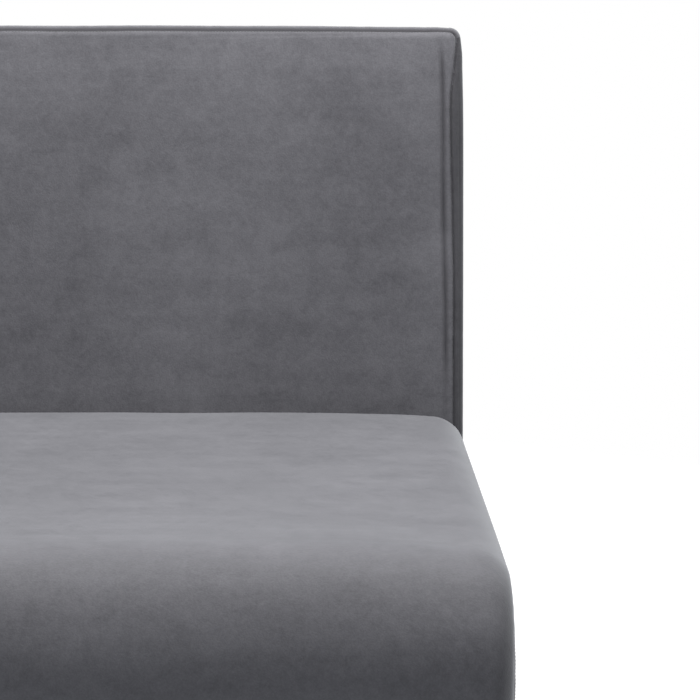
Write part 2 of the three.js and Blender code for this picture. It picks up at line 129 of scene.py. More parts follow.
class Tree:
    """The node tree of a material or world, with short calls for the nodes used here."""

    def __init__(self, owner):
        self.owner = owner
        owner.use_nodes = True
        self.nodes, self.links = owner.node_tree.nodes, owner.node_tree.links
        self.nodes.clear()

    def add(self, kind, **inputs):
        """A new node with these inputs set. A name's _ stands for a space."""
        node = self.nodes.new("ShaderNode" + kind)
        for name, value in inputs.items():
            self.put(node.inputs[name.replace("_", " ")], value)
        return node

    def put(self, socket, value):
        """Links an output to a socket, or sets the socket's own value."""
        if isinstance(value, bpy.types.NodeSocket):
            self.links.new(value, socket)
        elif hasattr(value, "__len__") and len(value) == 3 and socket.type == "RGBA":
            socket.default_value = (*value, 1)
        else:
            socket.default_value = value

    def math(self, operation, a, b=0.0):
        node = self.add("Math")
        node.operation = operation
        self.put(node.inputs[0], a)
        self.put(node.inputs[1], b)
        return node.outputs[0]

    def mix(self, share, a, b):
        node = self.add("Mix", Factor=share)
        node.data_type = "RGBA"
        self.put(node.inputs[6], a)
        self.put(node.inputs[7], b)
        return node.outputs[2]

    def place(self, stretch=(1, 1, 1)):
        position = self.add("TexCoord").outputs["Object"]
        return self.add("Mapping", Scale=stretch, Vector=position).outputs[0]

    def noise(self, scale, detail=2.0, roughness=0.5, stretch=(1, 1, 1), distortion=0.0):
        """Noise from 0 to 1 about 0.5. The scale is in features per metre."""
        look = {"Scale": scale, "Detail": detail, "Roughness": roughness, "Distortion": distortion}
        return self.add("TexNoise", Vector=self.place(stretch), **look).outputs["Fac"]

    def waves(self, scale, direction):
        node = self.add("TexWave", Scale=scale, Vector=self.place())
        node.bands_direction = direction
        return node.outputs["Fac"]

    def spread(self, value, low, high, to_low=0.0, to_high=1.0):
        """Stretches the range from low to high over another one, and stops at its ends."""
        ends = {"From Min": low, "From Max": high, "To Min": to_low, "To Max": to_high}
        return self.add("MapRange", Value=value, **ends).outputs[0]

    def weighted(self, *pairs):
        """The sum of value times weight."""
        total = self.math("MULTIPLY", *pairs[0])
        for value, weight in pairs[1:]:
            total = self.math("ADD", total, self.math("MULTIPLY", value, weight))
        return total

    def bump(self, height, distance, strength=1.0):
        return self.add("Bump", Height=height, Distance=distance, Strength=strength).outputs[0]

    def background(self, colour, strength):
        return self.add("Background", Color=colour, Strength=strength).outputs[0]

    def finish(self, shader, output="OutputMaterial"):
        self.add(output, Surface=shader)
        return self.owner

    def principled(self, colour, roughness, normal=None, **numbers):
        shader = self.add("BsdfPrincipled", Base_Color=colour, Roughness=roughness, **numbers)
        if normal is not None:
            self.put(shader.inputs["Normal"], normal)
        return self.finish(shader.outputs[0])


def new_tree(name):
    return Tree(bpy.data.materials.new(name))


VELVET_DARK = (0.042, 0.041, 0.047)
VELVET_LIGHT = (0.131, 0.129, 0.141)
# The colour that painted shade darkens the velvet towards, in seams, creases and on round edges.
VELVET_PAINTED_SHADE = (0.014, 0.013, 0.016)


def make_velvet(name="velvet", shade=1.0, sheen=0.42):
    """Short-pile velvet: patches of several sizes where the pile lies differently, faint streaks along the cloth,
    fine pile.
    The mesh's "fold" attribute says where painted shade darkens it: in seams and creases and on round edges."""
    tree = new_tree(name)
    clouds = tree.spread(tree.noise(5, 2.0, 0.55, distortion=0.4), 0.3, 0.7)
    patches = tree.spread(tree.noise(34, 3.0, 0.62, distortion=0.6), 0.28, 0.72)
    flecks = tree.spread(tree.noise(150, 2.0, 0.6), 0.28, 0.72)
    streaks = tree.spread(tree.noise(14, 3.0, 0.6, stretch=(0.35, 2.2, 2.2)), 0.3, 0.7)
    pile = tree.spread(tree.noise(520, 2.0, 0.7), 0.3, 0.7)
    share = tree.weighted(
        (clouds, 0.19), (patches, 0.22), (flecks, 0.17), (streaks, 0.16), (pile, 0.24)
    )
    dark, light, painted_shade = (
        tuple(shade * c for c in colour) for colour in (VELVET_DARK, VELVET_LIGHT, VELVET_PAINTED_SHADE)
    )
    # Painted shade: the fold attribute mixes the colour towards the darkest one.
    fold = tree.add("Attribute")
    fold.attribute_name = "fold"
    lie = tree.weighted((pile, 0.6), (flecks, 0.25), (patches, 0.15))
    return tree.principled(
        tree.mix(fold.outputs["Fac"], tree.mix(share, dark, light), painted_shade),
        tree.spread(share, -1.6, 1.5),
        tree.bump(lie, 0.0006, 0.26),
        Sheen_Weight=sheen,
        Sheen_Roughness=0.5,
        Sheen_Tint=(0.9, 0.92, 0.95),
        Specular_IOR_Level=0.15,
    )


def make_floor_paint():
    tree = new_tree("floor_paint")
    mottle = tree.noise(3, 2.0, 0.5)
    pale = tree.mix(mottle, (0.3, 0.3, 0.3), (0.34, 0.34, 0.34))
    return tree.principled(pale, 0.7, Emission_Color=(1, 1, 1), Emission_Strength=0.74)


def make_thread():
    tree = new_tree("thread")
    ply = tree.waves(420, "DIAGONAL")
    colour = tree.mix(ply, (0.01, 0.01, 0.011), (0.035, 0.035, 0.039))
    return tree.principled(colour, 0.7, tree.bump(ply, 0.0001), Sheen_Weight=0.3)


def make_wood(name, dark, light, along, roughness, rings=26.0, coat=0.0):
    """Planed wood whose grain runs along "X", "Y" or "Z"."""
    tree = new_tree(name)
    fine = {a: 1.0 for a in "XYZ"}
    fine[along] = 0.06
    stretch = tuple(fine.values())
    bands = tree.noise(rings, 4.0, 0.6, stretch, distortion=1.2)
    pores = tree.noise(420, 2.0, 0.7, stretch)
    tone = tree.noise(4, 1.0, 0.5, stretch)
    share = tree.weighted(
        (tree.spread(bands, 0.32, 0.68), 0.62), (tree.spread(pores, 0.3, 0.7), 0.24), (tone, 0.14)
    )
    return tree.principled(
        tree.mix(share, dark, light),
        tree.spread(share, -roughness * 4, 1.0 / roughness),
        tree.bump(tree.weighted((pores, 0.7), (bands, 0.3)), 0.0004, 0.3),
        Coat_Weight=coat,
        Coat_Roughness=0.25,
        Specular_IOR_Level=0.3,
    )


def make_foam(name, dark, light):
    tree = new_tree(name)
    cells = tree.noise(1100, 2.0, 0.6)
    tone = tree.noise(9, 2.0)
    share = tree.weighted((cells, 0.55), (tone, 0.45))
    return tree.principled(tree.mix(share, dark, light), 0.95, tree.bump(cells, 0.001, 0.6))


def make_cloth(name, dark, light, threads=900.0, depth=0.0003):
    """A plain woven cloth or a felt, with threads per metre."""
    tree = new_tree(name)
    weave = tree.math("MULTIPLY", tree.waves(threads / 6, "X"), tree.waves(threads / 6, "Z"))
    fibres = tree.noise(threads, 2.0, 0.7)
    share = tree.weighted((weave, 0.4), (fibres, 0.6))
    return tree.principled(
        tree.mix(share, dark, light), 0.9, tree.bump(share, depth, 0.6), Sheen_Weight=0.2
    )


def make_metal(name, dark, light, metallic, roughness, grain=300.0, coarse=0.0002):
    tree = new_tree(name)
    speckle = tree.noise(grain, 3.0, 0.6)
    smudge = tree.noise(22, 2.0, 0.5)
    share = tree.weighted((speckle, 0.5), (smudge, 0.5))
    return tree.principled(
        tree.mix(share, dark, light),
        tree.weighted((smudge, 0.2), (speckle, 0.1), (1.0, roughness - 0.15)),
        tree.bump(speckle, coarse, 0.4),
        Metallic=metallic,
    )


def make_plastic(name, dark, light):
    tree = new_tree(name)
    orange_peel = tree.noise(700, 2.0, 0.5)
    share = tree.weighted((orange_peel, 0.5), (tree.noise(30), 0.5))
    return tree.principled(tree.mix(share, dark, light), 0.45, tree.bump(orange_peel, 0.0002, 0.4))


def make_materials():
    stain = (0.014, 0.0062, 0.003), (0.15, 0.068, 0.03)
    beech = (0.36, 0.22, 0.115), (0.62, 0.44, 0.27)
    birch = (0.48, 0.32, 0.17), (0.74, 0.56, 0.35)
    made = {
        "velvet": make_velvet(),
        # A lighter copy of the velvet for the back panel: painted light.
        "velvet_back_painted_light": make_velvet("velvet_back_painted_light", 1.13),
        # A darker copy of the velvet, with less sheen, for the back's side boxing: painted shade.
        "velvet_boxing_painted_shade": make_velvet("velvet_boxing_painted_shade", 0.6, 0.27),
        "thread": make_thread(),
        "foam": make_foam("foam", (0.62, 0.56, 0.42), (0.8, 0.75, 0.6)),
        "wadding": make_foam("wadding", (0.78, 0.78, 0.76), (0.92, 0.92, 0.9)),
        "dust_cloth": make_cloth("dust_cloth", (0.012, 0.012, 0.014), (0.045, 0.045, 0.05), 700),
        "felt": make_cloth("felt", (0.02, 0.018, 0.016), (0.07, 0.062, 0.055), 1500, 0.0006),
        "hardboard": make_foam("hardboard", (0.16, 0.085, 0.04), (0.3, 0.17, 0.085)),
        "black_steel": make_metal("black_steel", (0.012, 0.012, 0.013), (0.03, 0.03, 0.032), 0.0, 0.45),
        "zinc_steel": make_metal("zinc_steel", (0.5, 0.51, 0.53), (0.68, 0.69, 0.7), 1.0, 0.4),
        "black_plastic": make_plastic("black_plastic", (0.012, 0.012, 0.013), (0.03, 0.03, 0.032)),
        "zip_nylon": make_cloth("zip_nylon", (0.05, 0.05, 0.055), (0.13, 0.13, 0.14), 1200),
    }
    for axis in "XYZ":
        made["stained_wood_" + axis] = make_wood("stained_wood_" + axis, *stain, axis, 0.5, coat=0.1)
        made["raw_wood_" + axis] = make_wood("raw_wood_" + axis, *beech, axis, 0.7)
    made["slat_wood"] = make_wood("slat_wood", *birch, "Y", 0.5, rings=40.0, coat=0.15)
    return made


def material_for(node):
    """A CAD node's material: its slot's, with wood grain along the node's longest side."""
    slot = SLOT_OF[node]
    if slot not in ("stained_wood", "raw_wood"):
        return MATERIALS[slot]
    low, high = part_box(node)
    size = high - low
    return MATERIALS[slot + "_" + "XYZ"[max(range(3), key=lambda i: size[i])]]


# ------------------------ mesh helpers

WELD = 2e-5  # points this close together are one point


def turn_outward(mesh, weld=0):
    """Turns a closed mesh's faces outward, after joining points that are closer than weld."""
    work = bmesh.new()
    work.from_mesh(mesh)
    if weld:
        bmesh.ops.remove_doubles(work, verts=work.verts, dist=weld)
    bmesh.ops.recalc_face_normals(work, faces=work.faces)
    work.to_mesh(mesh)
    work.free()


def new_object(name, verts, faces, material=None, weld=WELD):
    mesh = bpy.data.meshes.new(name)
    mesh.from_pydata([tuple(v) for v in verts], [], [tuple(int(i) for i in f) for f in faces])
    if weld:
        turn_outward(mesh, weld)
    mesh.shade_smooth()
    if material:
        mesh.materials.append(material)
    obj = bpy.data.objects.new(name, mesh)
    bpy.context.scene.collection.objects.link(obj)
    return obj


def set_painted_shade(obj, fold):
    """Tells the velvet how much painted shade darkens it at each point, from 0 to 1."""
    obj.data.attributes.new("fold", "FLOAT", "POINT").data.foreach_set("value", fold.astype(np.float32))


def add_piece(obj, body, slot, *replaced):
    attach(obj, body)
    if replaced:
        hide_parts(*replaced)
    return obj


def points_of(mesh):
    points = np.zeros(len(mesh.vertices) * 3)
    mesh.vertices.foreach_get("co", points)
    return points.reshape(-1, 3)


def loft_faces(loops, count):
    """Quads between neighbouring loops of count points each, numbered one loop after another."""
    along = np.arange(count)
    after = (along + 1) % count
    start = (np.arange(loops - 1) * count)[:, None]
    quads = np.stack([start + along, start + after, start + count + after, start + count + along], -1)
    return quads.reshape(-1, 4)


def wander(position, seed, wavelengths, count=5):
    """A smooth wandering line about 0, never past 1, of waves with lengths in metres."""
    draw = np.random.default_rng(seed)
    lengths = draw.uniform(*wavelengths, count)
    phases = draw.uniform(0, 2 * math.pi, count)
    return sum(np.sin(2 * math.pi * position / w + p) for w, p in zip(lengths, phases)) / count


def bell(distance, width):
    return np.exp(-0.5 * (distance / width) ** 2)


def smooth_step(value, start, stop):
    share = np.clip((value - start) / (stop - start), 0, 1)
    return share * share * (3 - 2 * share)


def line_of(x, y, z):
    """Points of a line, from three coordinates of which some may be the same all along."""
    return np.stack(np.broadcast_arrays(x, y, z), -1)


def filled_out(verts, faces, pressure, frames=20):
    """How far each point of a closed cloth skin moves when air pressure fills it out."""
    skin = new_object("filled_skin", verts, faces, weld=0)
    turn_outward(skin.data)
    cloth = skin.modifiers.new("cloth", "CLOTH")
    settings = cloth.settings
    settings.quality = 5
    settings.mass = 0.35
    settings.tension_stiffness = settings.compression_stiffness = 22
    settings.shear_stiffness = 8
    settings.bending_stiffness = 1.2
    settings.use_pressure = True
    settings.uniform_pressure_force = pressure
    settings.effector_weights.gravity = 0
    cloth.point_cache.frame_start = 1
    cloth.point_cache.frame_end = frames
    scene = bpy.context.scene
    for number in range(1, frames + 1):
        scene.frame_set(number)
    shaped = skin.evaluated_get(bpy.context.evaluated_depsgraph_get())
    moves = points_of(shaped.data) - verts
    scene.frame_set(1)
    bpy.data.objects.remove(skin)
    return moves


def carried_over(moves, from_verts, to_verts, reach, neighbours=10):
    """The moves of one mesh's points, smoothly averaged at another mesh's points."""
    tree = KDTree(len(from_verts))
    for i, v in enumerate(from_verts):
        tree.insert(v, i)
    tree.balance()
    out = np.zeros_like(to_verts)
    for i, v in enumerate(to_verts):
        found = tree.find_n(v, neighbours)
        weights = np.array([math.exp(-((d / reach) ** 2)) for _, _, d in found]) + 1e-9
        out[i] = weights @ moves[[j for _, j, _ in found]] / weights.sum()
    return out


def point_normals(verts, faces):
    """Outward unit normals of a closed skin of quads."""
    corners = verts[faces]
    facing = np.cross(corners[:, 2] - corners[:, 0], corners[:, 3] - corners[:, 1])
    total = np.zeros_like(verts)
    for k in range(4):
        np.add.at(total, faces[:, k], facing)
    total /= np.linalg.norm(total, axis=1, keepdims=True) + 1e-12
    return total * np.sign(np.sum(total * (verts - verts.mean(0))))


def kept_close(moves, normals, inward, outward):
    """The same moves, with what goes in or out of the surface limited to two distances."""
    straight = np.sum(moves * normals, axis=1, keepdims=True)
    return moves + normals * (np.clip(straight, -inward, outward) - straight)


def closed_up(verts, plain):
    """The points moved so that those at one place in the plain shape stay together."""
    group = np.unique(np.round(plain, 6), axis=0, return_inverse=True)[1].reshape(-1)
    total = np.zeros((group.max() + 1, 3))
    np.add.at(total, group, verts)
    return (total / np.bincount(group)[:, None])[group]


def limited(moves, cap):
    """The same moves, none longer than cap, with a soft shoulder."""
    length = np.linalg.norm(moves, axis=1, keepdims=True) + 1e-12
    return moves / length * cap * np.tanh(length / cap)


def stitches(name, points, normals, pitch=0.0036, length=0.0026, radius=0.00028):
    """A row of thread stitches along a line of points that lies on cloth."""
    steps = np.linalg.norm(np.diff(points, axis=0), axis=1)
    travelled = np.concatenate([[0], np.cumsum(steps)])

    def at(s, values):
        return np.stack([np.interp(s, travelled, values[:, k]) for k in range(3)], -1)

    starts = np.arange(pitch / 2, travelled[-1] - pitch, pitch)
    shape = [(0.0, 0.3), (0.18, 0.85), (0.5, 1.0), (0.82, 0.85), (1.0, 0.3)]  # along it, and thickness
    sides = 6
    verts, faces = [], []
    for s in starts:
        a, b = at(s, points), at(s + length, points)
        normal = at(s, normals)
        normal /= np.linalg.norm(normal)
        across = np.cross(b - a, normal)
        across /= np.linalg.norm(across)
        first = len(verts)
        for share, fat in shape:
            arch = radius * (1.2 * math.sin(math.pi * share) - 0.5)
            middle = a + (b - a) * share + normal * arch
            for k in range(sides):
                angle = 2 * math.pi * k / sides
                spoke = across * math.cos(angle) + normal * math.sin(angle)
                verts.append(middle + spoke * radius * fat)
        for ring in range(len(shape) - 1):
            for k in range(sides):
                low, next_low = first + ring * sides + k, first + ring * sides + (k + 1) % sides
                faces.append((low, next_low, next_low + sides, low + sides))
        faces.append(tuple(first + k for k in reversed(range(sides))))
        faces.append(tuple(first + (len(shape) - 1) * sides + k for k in range(sides)))
    return new_object(name, verts, faces, MATERIALS["thread"], weld=0)


def box_skin(*grids):
    """Points on a box's surface, at the stations along its three axes, and the quads between them."""
    ids = np.arange(math.prod(len(s) for s in grids)).reshape([len(s) for s in grids])
    quads = []
    for axis in range(3):
        for end in (0, -1):
            side = ids.take(end, axis)
            quads.append(np.stack([side[:-1, :-1], side[1:, :-1], side[1:, 1:], side[:-1, 1:]], -1))
    quads = np.concatenate([q.reshape(-1, 4) for q in quads])
    used, faces = np.unique(quads, return_inverse=True)
    points = np.stack(np.meshgrid(*grids, indexing="ij"), -1).reshape(-1, 3)[used]
    return points, faces.reshape(-1, 4)


def rounded(points, radius):
    """Points of a box's surface, moved onto the same box with round edges; also their normals."""
    inner = np.clip(points, points.min(0) + radius, points.max(0) - radius)
    normals = points - inner
    normals /= np.linalg.norm(normals, axis=1, keepdims=True)
    return inner + normals * radius, normals


def stations(low, high, spacing, fine_low=(), fine_high=()):
    """Even stations between two ends, with finer ones at the given distances from each end."""
    start = low + (fine_low[-1] if fine_low else 0)
    stop = high - (fine_high[-1] if fine_high else 0)
    even = np.linspace(start, stop, max(2, round((stop - start) / spacing) + 1))
    before = [low + d for d in fine_low[:-1]]
    after = [high - d for d in reversed(fine_high[:-1])]
    return np.concatenate([before, even, after])


def soft_copy(node, voxel, inset, slot, body):
    """A foam piece in the place of a CAD solid, with soft worn edges, a little inside it."""
    source = NODES[node]
    obj = bpy.data.objects.new(node + "_block", source.data.copy())
    bpy.context.scene.collection.objects.link(obj)
    remesh = obj.modifiers.new("even", "REMESH")
    remesh.mode = "VOXEL"
    remesh.voxel_size = voxel
    smooth = obj.modifiers.new("soft", "SMOOTH")
    smooth.factor = 0.5
    smooth.iterations = 4
    mesh = bpy.data.meshes.new_from_object(obj.evaluated_get(bpy.context.evaluated_depsgraph_get()))
    obj.modifiers.clear()
    obj.data = mesh
    normals = np.zeros(len(mesh.vertices) * 3)
    mesh.vertex_normals.foreach_get("vector", normals)
    mesh.vertices.foreach_set("co", points_of(mesh).reshape(-1) - normals * inset)
    mesh.shade_smooth()
    mesh.materials.clear()
    mesh.materials.append(MATERIALS[slot])
    add_piece(obj, body, slot, node)


# ------------------------ mattress cover

NOSE_SHARE = 0.5  # the front is a full half-round
REAR_RADIUS, END_RADIUS = 0.040, 0.037
SHRINK = 0.004  # the skin starts this much inside the CAD size, and pressure fills it out
MATTRESS_CAP = 0.0085  # pressure moves no point further than this
END_CROWN, END_CROWN_RUN = 0.003, 0.018  # the end panels' middles stand out, and how fast that grows
CROWN, CROWN_START, CROWN_RUN = 0.0078, 0.018, 0.14  # the same for the seat's middle, above its ends
SEAM_DEPTH, SEAM_WIDTH = 0.0020, 0.0013
SEAM_PAINTED_SHADE = 0.7  # how much painted shade darkens the end seams
PUCKER, PUCKER_REACH = 0.0005, 0.012  # beside the end seams
EDGE_SWELL = 0.0032  # at the front, of the upper end edges
EDGE_PAINTED_SHADE = 0.5  # how much painted shade darkens the round end edges and the end panels beside their seams
ZIP_CLEAR = 0.022  # the end panel lies flat this far above and below the zip
BESIDE_SEAM = (0.0009, 0.0019, 0.0032, 0.005, 0.008, 0.012)  # loops of points on both sides of it
STITCH_LOOP = 3  # the end panel's stitches lie on the third of them


def mattress_profile(depth, thickness, nose_steps, flat_steps, corner_steps, rear_steps):
    """Side-view points (y, z) and outward normals, symmetric about the middle height."""
    nose = thickness * NOSE_SHARE
    points, normals = [], []

    def arc(cy, cz, radius, start, sweep, steps):
        for i in range(steps):
            angle = start + sweep * i / steps
            normals.append((math.cos(angle), math.sin(angle)))
            points.append((cy + radius * normals[-1][0], cz + radius * normals[-1][1]))

    def line(a, b, normal, steps):
        for i in range(steps):
            points.append(tuple(p + (q - p) * i / steps for p, q in zip(a, b)))
            normals.append(normal)

    flat_end, top = depth - REAR_RADIUS, thickness
    quarter = math.pi / 2
    arc(nose, nose, nose, 3 * quarter, -2 * quarter, nose_steps)
    line((nose, top), (flat_end, top), (0, 1), flat_steps)
    arc(flat_end, top - REAR_RADIUS, REAR_RADIUS, quarter, -quarter, corner_steps)
    line((depth, top - REAR_RADIUS), (depth, REAR_RADIUS), (1, 0), rear_steps)
    arc(flat_end, REAR_RADIUS, REAR_RADIUS, 0, -quarter, corner_steps)
    line((flat_end, 0), (nose, 0), (0, -1), flat_steps)
    return np.array(points), np.array(normals)


def mattress_stations(length, to_spine, spacing, round_steps, seam_offsets, panel_steps):
    """For each loop from left to right: x, how far it is inside the outline, how far it is into the
    end panel, and how far along the cloth it is from the end seam."""
    edge = END_RADIUS
    right = []
    for i in range(1, round_steps):
        angle = math.pi / 2 * i / round_steps
        inset = edge * (1 - math.cos(angle))
        along = edge * (math.pi / 2 - angle)
        if along > max(seam_offsets, default=0):
            right.append((length / 2 - edge + edge * math.sin(angle), inset, 0.0, along))
    for offset in sorted(seam_offsets, reverse=True):
        angle = math.pi / 2 - offset / edge
        x = length / 2 - edge + edge * math.sin(angle)
        right.append((x, edge * (1 - math.cos(angle)), 0.0, offset))
    right.append((length / 2, edge, 0.0, 0.0))
    for offset in sorted(seam_offsets):
        right.append((length / 2, edge, offset, offset))
    reach = max(seam_offsets, default=0)
    span = to_spine - reach
    for i in range(1, panel_steps + 1):
        further = reach + span * i / panel_steps
        right.append((length / 2, edge, further, further))
    half = length / 2 - edge
    count = max(2, round(2 * half / spacing))
    quarter = edge * math.pi / 2  # round the edge, from the end seam to the flat top
    middle = [(x, 0.0, 0.0, half - abs(x) + quarter) for x in np.linspace(-half, half, count + 1)]
    left = [(-x, inset, further, along) for x, inset, further, along in reversed(right)]
    return left + middle + right


def mattress_skin(size, shrink, profile_steps, **station_steps):
    """The cover's shape, drawn in a little: its points and faces, each point's distance from the end
    seam, the points per loop, and how far each loop is closed, from 0 on the outline to 1."""
    length, depth, thickness = size
    outline, normals = mattress_profile(depth, thickness, *profile_steps)
    nose = thickness * NOSE_SHARE
    spine = np.stack([np.clip(outline[:, 0], nose, depth - nose), np.full(len(outline), nose)], -1)
    loops, seam, closing = [], [], []
    to_spine = nose - END_RADIUS  # from the end seam to the line where the end panel closes
    for x, inset, further, along in mattress_stations(length, to_spine, **station_steps):
        ring = outline - normals * (inset + shrink)
        if further:
            ring = ring + (spine - ring) * further / to_spine
        x = np.sign(x) * (abs(x) - shrink)
        loops.append(np.column_stack([np.full(len(ring), x), ring]))
        seam.append(along)
        closing.append(further / to_spine)
    verts = np.concatenate(loops)
    count = len(outline)
    return verts, loft_faces(len(loops), count), np.repeat(seam, count), count, np.array(closing)


def filled_mattress(size, verts, faces, count, closing):
    """The cover's points, moved as air pressure moves a coarse skin of the same cover."""
    rough, rough_faces, *_ = mattress_skin(
        size, SHRINK, (18, 30, 4, 6), spacing=0.022, round_steps=4, seam_offsets=(), panel_steps=4
    )
    welded, index = np.unique(np.round(rough, 6), axis=0, return_inverse=True)
    joined = [tuple(dict.fromkeys(index.reshape(-1)[f])) for f in rough_faces]
    joined = [f for f in joined if len(f) > 2]
    moves = limited(filled_out(welded, joined, pressure=4.0), MATTRESS_CAP)
    moves = carried_over(moves, welded, verts, reach=0.03).reshape(-1, count, 3)
    # The foam keeps the side view's outline, so only what changes along the length counts.
    moves[:, :, 1:] -= moves[len(moves) // 2, :, 1:] * (1 - closing)[:, None, None]
    normals = point_normals(verts, faces)
    return verts + kept_close(moves.reshape(-1, 3), normals, inward=0.0002, outward=0.008)


def make_mattress_cover():
    """The velvet cover: filled out, crowned, with sunken end seams, and flat around its zip."""
    low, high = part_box("mattress_cover")
    length, depth, thickness = high - low
    shift = np.array([0, low.y, low.z])
    verts, faces, seam, count, closing = mattress_skin(
        high - low, 0.0, (56, 96, 14, 20),
        spacing=0.008, round_steps=12, seam_offsets=BESIDE_SEAM, panel_steps=5,
    )
    plain = verts
    verts = filled_mattress(high - low, verts, faces, count, closing)
    verts = closed_up(verts, plain)
    from_end = length / 2 - np.abs(verts[:, 0])
    upward = np.clip(point_normals(verts, faces)[:, 2], 0, 1)
    verts[:, 2] += CROWN * (1 - np.exp(-np.maximum(from_end - CROWN_START, 0) / CROWN_RUN)) * upward
    # Towards the front the cover's upper edges stand out a little at both ends.
    swell = EDGE_SWELL * smooth_step(verts[:, 1], 0.8, 0.05) * smooth_step(from_end, 0.1, 0.02)
    verts[:, 0] += np.sign(verts[:, 0]) * swell * np.clip(2 * upward, 0, 1)

    # The seam sinks between its two panels, and the cloth puckers a little on both sides of it.
    outward = np.zeros_like(verts)
    outward[:, 0] = np.sign(verts[:, 0])
    around = verts[:, 1] + verts[:, 2]
    pucker = wander(around, 7, (0.012, 0.04)) * PUCKER * np.exp(-seam / PUCKER_REACH)
    dip = SEAM_DEPTH * bell(seam, SEAM_WIDTH)
    centre = np.array([0, depth / 2, thickness / 2])
    towards = centre - verts
    towards[:, 0] = 0
    towards /= np.linalg.norm(towards, axis=1, keepdims=True) + 1e-9
    verts = verts + (towards * 0.7 - outward * 0.7) * (dip + pucker)[:, None]
    on_panel = np.repeat(closing > 0, count)
    end_crown = END_CROWN * (1 - np.exp(-seam / END_CROWN_RUN))
    verts[:, 0] += outward[:, 0] * np.where(on_panel, end_crown, 0)
    # Painted shade: darker in the end seams, on the end panels beside them and on the round end edges.
    edge_painted_shade = np.where(on_panel, np.exp(-seam / 0.010), smooth_step(seam, 0.042, 0.014))
    fold = np.maximum(SEAM_PAINTED_SHADE * bell(seam, SEAM_WIDTH), EDGE_PAINTED_SHADE * edge_painted_shade)
    # It is flat where it lies on the slats, and around the zip.
    verts[:, 2] = np.maximum(verts[:, 2], 0.0)
    zip_low, zip_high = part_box("mattress_zip")
    zip_height = (zip_low.z + zip_high.z) / 2 - low.z
    off_zip = np.abs(verts[:, 2] - zip_height)
    on_left = (verts[:, 0] < -length / 2 + 0.012) & (off_zip < ZIP_CLEAR)
    hold = np.where(on_left, 1 - np.clip((off_zip - ZIP_CLEAR / 2) / (ZIP_CLEAR / 2), 0, 1), 0)
    verts[:, 0] += (-length / 2 + zip_inset() - verts[:, 0]) * hold
    verts = closed_up(verts, plain)
    cover = new_object("mattress_velvet_cover", verts + shift, faces, MATERIALS["velvet"], weld=0)
    set_painted_shade(cover, fold)
    turn_outward(cover.data, WELD)
    add_piece(cover, "mattress", "velvet", "mattress_cover")
    return verts + shift, seam, count


def zip_inset():
    """How far the zip tape's inner face lies inside the mattress's end."""
    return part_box("mattress_zip")[1].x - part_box("mattress_cover")[0].x


def make_mattress_stitches(verts, seam, count):
    """One row on each end panel, close inside its seam."""
    loops = verts.reshape(-1, count, 3)
    along = seam.reshape(-1, count)[:, 0]
    for name, row, side in (("left", 0, -1), ("right", -1, 1)):
        on_panel = [i for i in range(len(loops)) if abs(loops[i, 0, 0] - loops[row, 0, 0]) < 0.01]
        seam_row = min(on_panel, key=lambda i: along[i])
        line = loops[seam_row + STITCH_LOOP * side]
        line = np.vstack([line, line[:1]])
        normals = np.tile([float(side), 0.0, 0.0], (len(line), 1))
        add_piece(stitches(f"mattress_stitching_{name}", line, normals), "mattress", "velvet")


# ------------------------ back panel

BACK_EDGE = 0.0115  # round edges of the padded panel
SEAM_CORNER = 0.010  # radius of the seams' turn at the corners
TOP_SEAM_IN = 0.0027  # from the panel's top edge to its front seam
REAR_SEAM_IN = 0.007  # the same for its rear seam, all round
TOP_ROLL, TOP_ROLL_RUN = 0.0016, 0.035  # how far the front bends back towards its top seam
CREASE_IN = 0.0220  # from the panel's end to the edge of the allowance that shows through
BACK_CAP = 0.003  # pressure moves no point further than this
GROOVE_DEPTH, GROOVE_WIDTH = 0.0017, 0.00095  # of the seams
RIDGE_HEIGHT, RIDGE_OUT, RIDGE_WIDTH = 0.0011, 0.0042, 0.0025  # outside the seams
ALLOWANCE_LIFT, CREASE_DEPTH, CREASE_WIDTH = 0.0008, 0.0019, 0.0019  # inside the side seams
RIM_IN, RIM_DEPTH, RIM_WIDTH = 0.0035, 0.0006, 0.0009  # a shallow line along the panel's ends
BACK_CROWN, BACK_CROWN_RUN = 0.0022, 0.05  # the panel's middle stands out from its seams
UNEVEN = 0.0004
UNEVEN_TOP = 0.0006
TOP_PROUD, CORNER_PROUD = 0.0022, 0.0031  # the top's middle over its ends, and its ends over the corners
DRAWN_IN, DRAWN_RUN = 0.0047, 0.035  # the panel's ends at the top corners, and how fast that fades
STITCHES_IN = 0.0012  # from the front seam's middle
STITCHES_FROM = 0.02  # above the panel's bottom


class Panel:
    """The leaning back panel: its own axes (across, up its slope, rearward) and its size."""

    def __init__(self):
        joint = next(j for j in frame["joints"] if j["name"] == "back_lift")
        up = np.array(joint["axis"])
        self.up = up / np.linalg.norm(up)
        self.across = np.array([1.0, 0, 0])
        self.rear = np.cross(self.up, self.across)
        self.rear *= np.sign(self.rear[1])
        own = points_of(NODES["back_cover"].data) @ self.axes().T
        self.low, self.high = own.min(0), own.max(0)
        self.size = self.high - self.low

    def axes(self):
        return np.stack([self.across, self.up, self.rear])

    def to_world(self, own):
        return (own + [0, self.low[1], self.low[2]]) @ self.axes()


def growing(*runs):
    """Distances from 0 whose steps change along the way: each run is (until, step)."""
    distances = [0.0]
    for until, step in runs:
        count = round((until - distances[-1]) / step)
        distances += list(np.linspace(distances[-1], until, count + 1)[1:])
    return tuple(distances)


def side_seam_in(below_top):
    """How far in from the panel's end the side seam runs: it swings in below the corner."""
    swing = 0.0116 * smooth_step(below_top, -0.01, 0.09)
    return 0.0018 + swing - 0.0038 * smooth_step(below_top, 0.1, 0.3)


def seam_distance(side, below_top, side_in, top_in):
    """Distance from the seam, seen from the front: negative inside it, positive towards the edge."""
    across = side_in - side + SEAM_CORNER
    up = top_in - below_top + SEAM_CORNER
    outside = np.hypot(np.maximum(across, 0), np.maximum(up, 0))
    return outside + np.minimum(np.maximum(across, up), 0) - SEAM_CORNER


